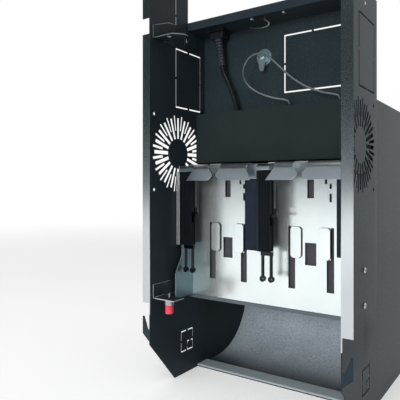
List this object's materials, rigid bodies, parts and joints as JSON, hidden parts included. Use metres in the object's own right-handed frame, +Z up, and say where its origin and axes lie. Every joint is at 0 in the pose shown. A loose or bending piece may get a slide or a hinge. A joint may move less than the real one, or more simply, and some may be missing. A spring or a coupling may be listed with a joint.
{
  "type": "open key dispensing cabinet",
  "caption": "Open sheet-steel key dispensing cabinet with a slotted bright magazine, sprung release gates, vented walls, delivery bin, cam lock and mains entry.",
  "frame": {"origin": "centre of the base, under the middle of the cabinet's box", "axes": "+Z up, -Y out of the open front, +X to the right seen from the front"},
  "size_m": [0.296, 0.2606, 0.609],
  "materials": {
    "powder_black": "satin powder coat",
    "band_grey": "matte powder coat",
    "bin_grey": "fine textured powder coat",
    "bright_steel": "bright brushed sheet",
    "satin_steel": "satin sheet",
    "gate_black": "moulded",
    "guide_blue": "gloss",
    "dark_steel": "darkened wire",
    "spring_steel": "drawn wire",
    "zinc": "bright zinc plate",
    "knob_red": "moulded",
    "collar_grey": "turned",
    "cord_black": "satin sheath",
    "moulded_black": "moulded",
    "grommet_rubber": "matte",
    "board_green": "solder mask",
    "standoff_brass": "turned",
    "coil_wrap": "wound coil",
    "supply_case": "folded sheet"
  },
  "bodies": {
    "cabinet": {"left_side_wall": "powder_black", "right_side_wall": "powder_black", "top_rail": "powder_black", "ceiling_pan": "powder_black", "upper_back_panel": "powder_black", "rear_housing": "powder_black", "rear_cover": "powder_black", "upper_hinge_bracket": "powder_black", "lower_hinge_bracket": "powder_black", "control_box_cover": "band_grey", "bin_floor": "bin_grey", "bin_front_lip": "bin_grey", "bin_top_ledge": "bin_grey", "magazine_backing": "bin_grey", "magazine_plate": "bright_steel", "gate_bracket_left": "bright_steel", "gate_bracket_right": "bright_steel", "magazine_spacers": "bright_steel", "magazine_shelf": "satin_steel", "gate_housing_left": "gate_black", "gate_housing_right": "gate_black", "gate_cap_left": "gate_black", "gate_cap_right": "gate_black", "lane_guide_left": "guide_blue", "lane_guide_right": "guide_blue", "wire_hook": "dark_steel", "gate_spring_left": "spring_steel", "gate_spring_right": "spring_steel", "plunger_spring": "spring_steel", "ceiling_screws": "zinc", "pan_screws": "zinc", "magazine_screws": "zinc", "cover_screws": "zinc", "lock_body": "zinc", "lock_nut": "zinc", "plunger_body": "collar_grey", "mains_cord": "cord_black", "signal_cable": "cord_black", "power_inlet": "moulded_black", "power_connector": "moulded_black", "strain_relief": "moulded_black", "cord_grommet": "grommet_rubber", "cable_grommets": "grommet_rubber", "control_board": "board_green", "board_standoffs": "standoff_brass", "gate_solenoid_left": "coil_wrap", "gate_solenoid_right": "coil_wrap", "power_supply": "supply_case"},
    "left_gate": {"gate_fork_left": "dark_steel"},
    "right_gate": {"gate_fork_right": "dark_steel"},
    "hinge_plunger": {"hinge_pin": "spring_steel", "pull_knob": "knob_red"},
    "lock_core": {"lock_plug": "zinc", "lock_cam": "zinc", "cam_screw": "zinc"}
  },
  "joints": [
    {"name": "left_gate_slide", "type": "slide", "parent": "cabinet", "child": "left_gate", "axis": [0, 0, -1], "range_m": [0, 0.012], "stiffness_N_per_m": 120, "springref_m": -0.006, "deforming": ["gate_spring_left"]},
    {"name": "right_gate_slide", "type": "slide", "parent": "cabinet", "child": "right_gate", "axis": [0, 0, -1], "range_m": [0, 0.012], "stiffness_N_per_m": 120, "springref_m": -0.006, "deforming": ["gate_spring_right"]},
    {"name": "hinge_pin_slide", "type": "slide", "parent": "cabinet", "child": "hinge_plunger", "axis": [0, 0, -1], "range_m": [0, 0.008], "stiffness_N_per_m": 300, "springref_m": -0.004, "deforming": ["plunger_spring"]},
    {"name": "lock_turn", "type": "hinge", "parent": "cabinet", "child": "lock_core", "pos_m": [-0.0255, -0.00175, 0.468], "axis": [0, 1, 0], "range_deg": [0, 90]}
  ]
}
